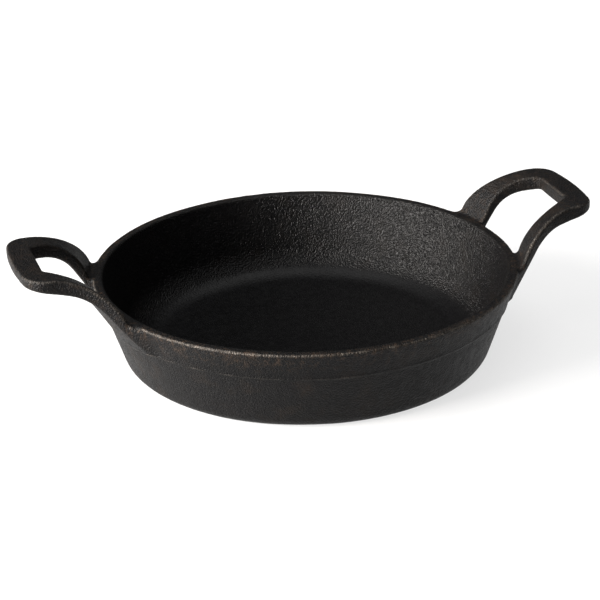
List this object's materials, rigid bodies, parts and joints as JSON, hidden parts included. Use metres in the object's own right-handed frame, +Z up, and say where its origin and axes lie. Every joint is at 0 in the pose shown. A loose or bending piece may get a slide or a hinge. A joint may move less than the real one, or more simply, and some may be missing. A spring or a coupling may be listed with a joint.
{
  "type": "cast iron skillet",
  "caption": "Shallow round cast iron skillet with flared walls and two raised loop handles, for cooking and serving straight from oven or hob.",
  "frame": {"origin": "centre of the flat underside of the pan, on the surface it stands on", "axes": "+X along the line through both handles, +Z up, +Y completes the right hand; the pan is symmetric in X and Y"},
  "size_m": [0.2758, 0.1994, 0.0644],
  "materials": {
    "seasoned_iron": "sand-cast and pre-seasoned: pebbled satin near-black, smoother and greyer where edges are rubbed"
  },
  "bodies": {
    "root": {"pan_floor": "seasoned_iron", "pan_wall": "seasoned_iron", "rim_band": "seasoned_iron", "right_handle_front_arm": "seasoned_iron", "right_handle_rear_arm": "seasoned_iron", "right_handle_grip": "seasoned_iron", "left_handle_front_arm": "seasoned_iron", "left_handle_rear_arm": "seasoned_iron", "left_handle_grip": "seasoned_iron"}
  },
  "joints": []
}
